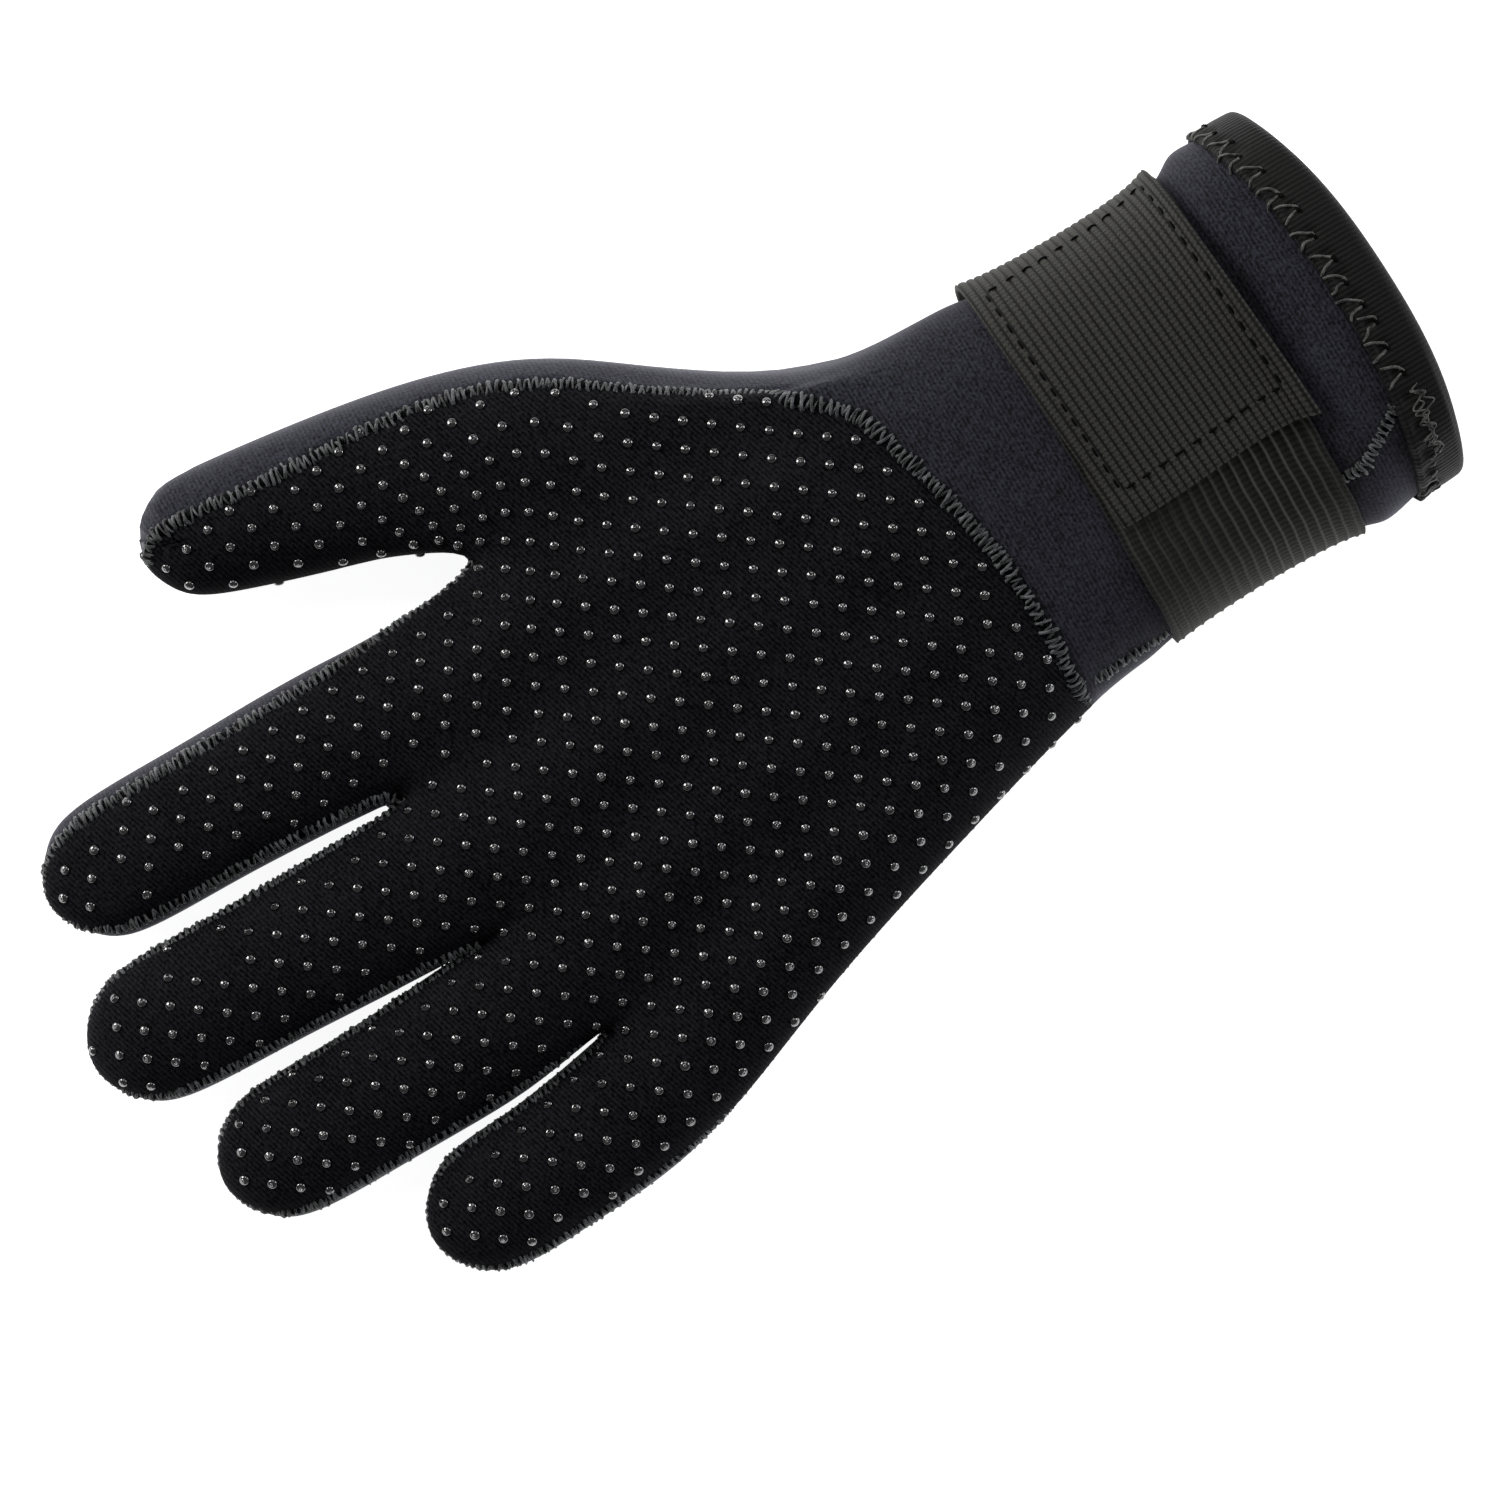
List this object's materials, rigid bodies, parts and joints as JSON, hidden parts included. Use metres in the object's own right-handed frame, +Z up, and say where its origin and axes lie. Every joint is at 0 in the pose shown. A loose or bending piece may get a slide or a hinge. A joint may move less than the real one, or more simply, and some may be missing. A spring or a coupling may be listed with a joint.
{
  "type": "diving glove",
  "caption": "Five-finger neoprene diving glove for the right hand, palm up, with grip dots, a bound gauntlet and a webbing wrist strap.",
  "frame": {"origin": "centre of the footprint, on the surface that the back of the glove rests on", "axes": "+Y from the cuff to the fingertips, +X to the thumb side, +Z up out of the palm"},
  "size_m": [0.1598, 0.2796, 0.0431],
  "materials": {
    "palm_knit": "black nylon jersey laminated to neoprene foam, matte",
    "back_knit": "dark blue-grey ribbed nylon jersey on neoprene foam, matte with a soft sheen",
    "binding_knit": "black knitted edge tape, matte",
    "strap_webbing": "black ribbed elastic webbing",
    "tab_webbing": "olive-grey ribbed polyester webbing",
    "grip_rubber": "black printed rubber dots, glossy",
    "seam_thread": "black polyester overlock thread, slight sheen",
    "light_thread": "grey polyester sewing thread"
  },
  "bodies": {
    "root": {"palm_panel": "palm_knit", "back_panel": "back_knit", "cuff_binding": "binding_knit", "wrist_strap": "strap_webbing", "strap_tab": "tab_webbing"}
  },
  "joints": []
}
